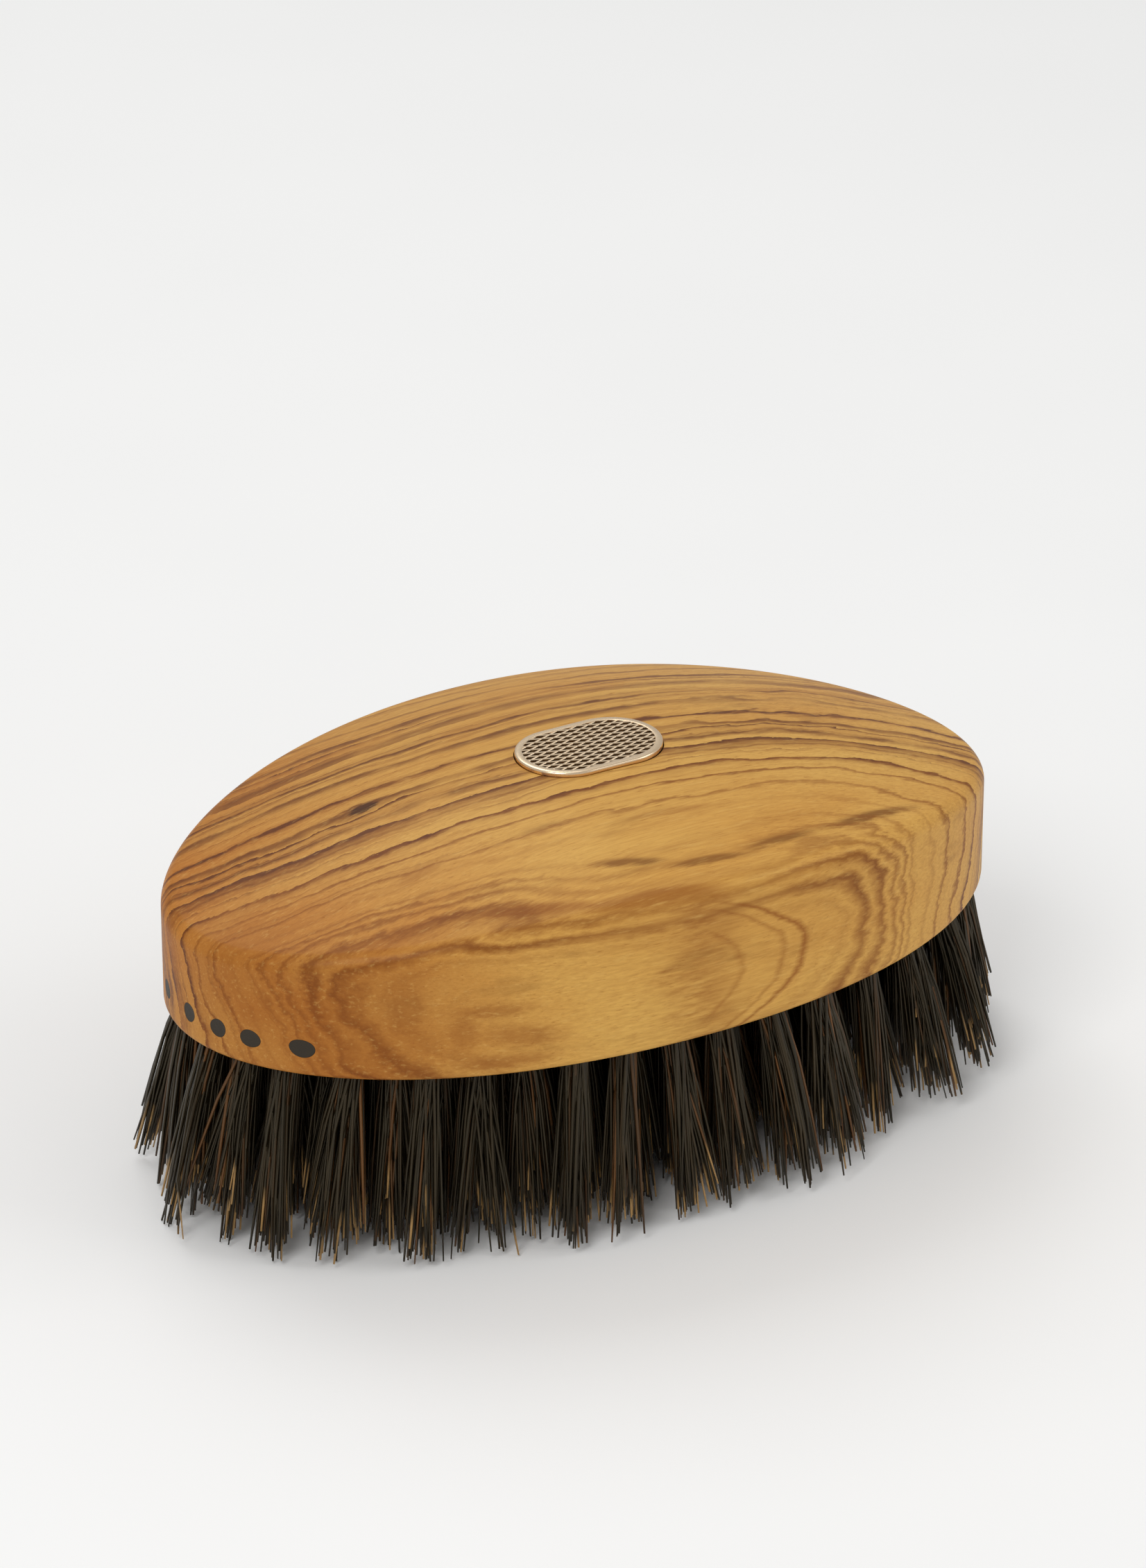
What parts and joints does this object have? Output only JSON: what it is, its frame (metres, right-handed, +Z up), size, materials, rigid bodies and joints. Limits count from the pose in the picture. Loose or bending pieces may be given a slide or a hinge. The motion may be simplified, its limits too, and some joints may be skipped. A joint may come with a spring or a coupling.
{
  "type": "beard brush",
  "caption": "Oval palm brush for beards: domed one-piece wooden back, small metal badge let into the top, plugged lacing channels in one end and dark natural bristles in drawn tufts.",
  "frame": {"origin": "under the middle of the brush, in the plane of the bristle tips that it stands on", "axes": "+X along the length, away from the plugged end; +Y across, towards the back; +Z up, from the bristle tips to the domed top"},
  "size_m": [0.1086, 0.064, 0.0444],
  "materials": {
    "wood": "satin",
    "badge_metal": "satin",
    "badge_enamel": "gloss",
    "adhesive": "matte",
    "plug_filler": "matte",
    "draw_wire": "satin",
    "bristle": "satin"
  },
  "bodies": {
    "root": {"brush_body": "wood", "badge_grille": "badge_metal", "badge_backing": "badge_enamel", "badge_adhesive": "adhesive", "channel_plug_1": "plug_filler", "channel_plug_2": "plug_filler", "channel_plug_3": "plug_filler", "channel_plug_4": "plug_filler", "channel_plug_5": "plug_filler", "channel_plug_6": "plug_filler", "channel_plug_7": "plug_filler", "draw_wire_01": "draw_wire", "draw_wire_02": "draw_wire", "draw_wire_03": "draw_wire", "draw_wire_04": "draw_wire", "draw_wire_05": "draw_wire", "draw_wire_06": "draw_wire", "draw_wire_07": "draw_wire", "draw_wire_08": "draw_wire", "draw_wire_09": "draw_wire", "draw_wire_10": "draw_wire", "draw_wire_11": "draw_wire", "bristle_row_01": "bristle", "bristle_row_02": "bristle", "bristle_row_03": "bristle", "bristle_row_04": "bristle", "bristle_row_05": "bristle", "bristle_row_06": "bristle", "bristle_row_07": "bristle", "bristle_row_08": "bristle", "bristle_row_09": "bristle", "bristle_row_10": "bristle", "bristle_row_11": "bristle"}
  },
  "joints": []
}
